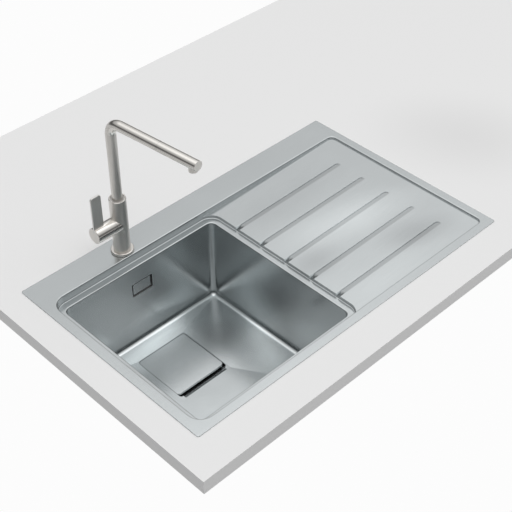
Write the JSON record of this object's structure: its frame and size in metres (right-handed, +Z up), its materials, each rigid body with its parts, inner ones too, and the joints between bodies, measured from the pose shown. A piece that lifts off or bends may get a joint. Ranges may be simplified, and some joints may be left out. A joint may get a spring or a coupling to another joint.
{
  "type": "inset kitchen sink with drainboard and tap",
  "caption": "Inset steel kitchen sink with one square bowl, grooved drainboard, covered drain, overflow and an L-shaped single-lever tap with pull-out end.",
  "frame": {"origin": "centre of the top's outline, on the worktop surface that the rim rests on", "axes": "+X along the long side from the bowl to the drainer, +Y from front to back, +Z up"},
  "size_m": [0.86, 0.53, 0.648],
  "materials": {
    "top_steel": "satin, fine crossed brushing",
    "bowl_steel": "satin, brushed",
    "cover_steel": "satin, brushed",
    "waste_steel": "bright, turned",
    "tap_nickel": "brushed nickel look",
    "blade_nickel": "brushed nickel look, darker face",
    "zinc": "zinc plated",
    "brass_plain": "machined",
    "copper_plain": "drawn copper pipe",
    "seal_rubber": "matt",
    "seal_foam": "matt closed foam",
    "pad_black": "matt bitumen pad",
    "plastic_white": "moulded",
    "plastic_grey": "moulded",
    "plastic_black": "moulded",
    "hose_grey": "braided sleeve",
    "disc_white": "lapped"
  },
  "bodies": {
    "sink": {"top": "top_steel", "bowl": "bowl_steel", "rim_seal": "seal_foam", "clip_rails": "zinc", "clip_claws": "zinc", "clip_legs": "zinc", "clip_screws": "zinc", "clip_nuts": "zinc", "bowl_pads": "pad_black", "drainer_pads": "pad_black", "waste_cup": "waste_steel", "waste_top_seal": "seal_rubber", "waste_lower_seal": "seal_rubber", "waste_body": "plastic_white", "waste_screws": "waste_steel", "overflow_plate": "cover_steel", "overflow_seal": "seal_rubber", "overflow_housing": "plastic_grey", "overflow_nuts": "brass_plain", "overflow_pipe": "plastic_white", "pipe_nuts": "plastic_white", "tap_body": "tap_nickel", "tap_base_ring": "tap_nickel", "tap_base_seal": "seal_rubber", "tap_shank": "brass_plain", "deck_seal": "seal_rubber", "deck_washer": "zinc", "deck_nut": "brass_plain", "tap_manifold": "brass_plain", "inlet_tails": "copper_plain", "cartridge": "plastic_grey", "cartridge_disc": "disc_white", "cartridge_nut": "brass_plain", "spout_bush": "plastic_black"},
    "drain_cover": {"drain_cover": "cover_steel", "cover_feet": "seal_rubber"},
    "strainer": {"strainer_basket": "waste_steel", "strainer_bung": "plastic_grey", "strainer_knob": "waste_steel", "strainer_seal": "seal_rubber"},
    "spout": {"spout_tube": "tap_nickel", "spout_circlip": "zinc"},
    "handset": {"handset": "tap_nickel", "handset_plug": "plastic_black", "handset_ring": "seal_rubber", "hose_stub": "hose_grey", "hose_nut": "brass_plain", "aerator_shell": "tap_nickel", "aerator_core": "plastic_grey"},
    "lever_carrier": {"cartridge_carrier": "plastic_white", "carrier_pin": "waste_steel"},
    "lever": {"cartridge_stem": "brass_plain", "lever_hub": "tap_nickel", "lever_blade": "blade_nickel", "lever_grub": "zinc"}
  },
  "joints": [
    {"name": "cover_lift", "type": "slide", "parent": "sink", "child": "drain_cover", "axis": [0, 0, 1], "range_m": [0, 0.25]},
    {"name": "strainer_lift", "type": "slide", "parent": "sink", "child": "strainer", "axis": [0, 0, 1], "range_m": [0, 0.008]},
    {"name": "spout_swivel", "type": "hinge", "parent": "sink", "child": "spout", "pos_m": [-0.202, 0.222, 0.14], "axis": [0, 0, 1], "range_deg": [-80, 80]},
    {"name": "handset_pull", "type": "slide", "parent": "spout", "child": "handset", "axis": [0.1045, -0.9945, 0], "range_m": [0, 0.07]},
    {"name": "lever_turn", "type": "hinge", "parent": "sink", "child": "lever_carrier", "pos_m": [-0.23, 0.222, 0.077], "axis": [-1, 0, 0], "range_deg": [-35, 35]},
    {"name": "lever_lift", "type": "hinge", "parent": "lever_carrier", "child": "lever", "pos_m": [-0.23, 0.222, 0.077], "axis": [0, -1, 0], "range_deg": [0, 18]}
  ]
}
